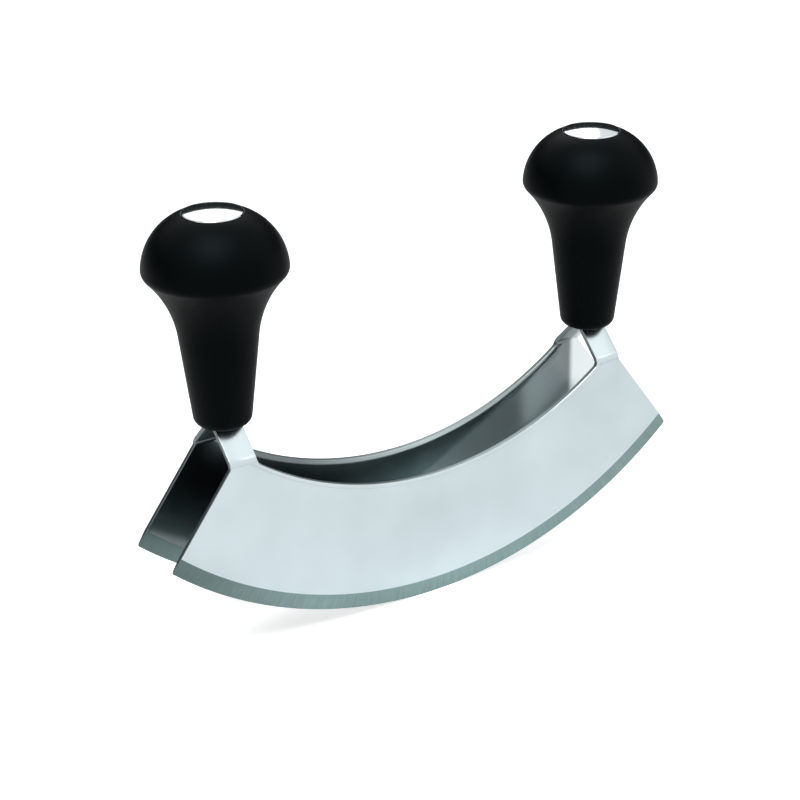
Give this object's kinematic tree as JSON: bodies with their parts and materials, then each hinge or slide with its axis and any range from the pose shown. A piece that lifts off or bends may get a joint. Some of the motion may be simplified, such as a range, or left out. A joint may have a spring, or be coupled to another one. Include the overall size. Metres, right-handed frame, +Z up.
{
  "type": "mezzaluna",
  "caption": "Rocking herb chopper: parallel crescent blades of sheet steel whose bent tangs meet under upright mushroom knob handles with steel caps.",
  "frame": {"origin": "midway between the two blades and the two handles, level with the lowest point of the cutting edges", "axes": "+X along the blades to the right, +Y from the front blade to the rear one, +Z up through the handles"},
  "size_m": [0.1794, 0.0414, 0.1339],
  "materials": {
    "blade_steel": "polished faces, ground bevels",
    "grip_plastic": "fine matt moulding",
    "cap_steel": "polished",
    "fastener_steel": "plain"
  },
  "bodies": {
    "root": {"front_blade": "blade_steel", "rear_blade": "blade_steel", "left_stud": "fastener_steel", "right_stud": "fastener_steel", "left_tang_rivets": "fastener_steel", "right_tang_rivets": "fastener_steel", "left_grip": "grip_plastic", "right_grip": "grip_plastic", "left_washer": "fastener_steel", "right_washer": "fastener_steel", "left_nut": "fastener_steel", "right_nut": "fastener_steel", "left_cap": "cap_steel", "right_cap": "cap_steel"}
  },
  "joints": []
}
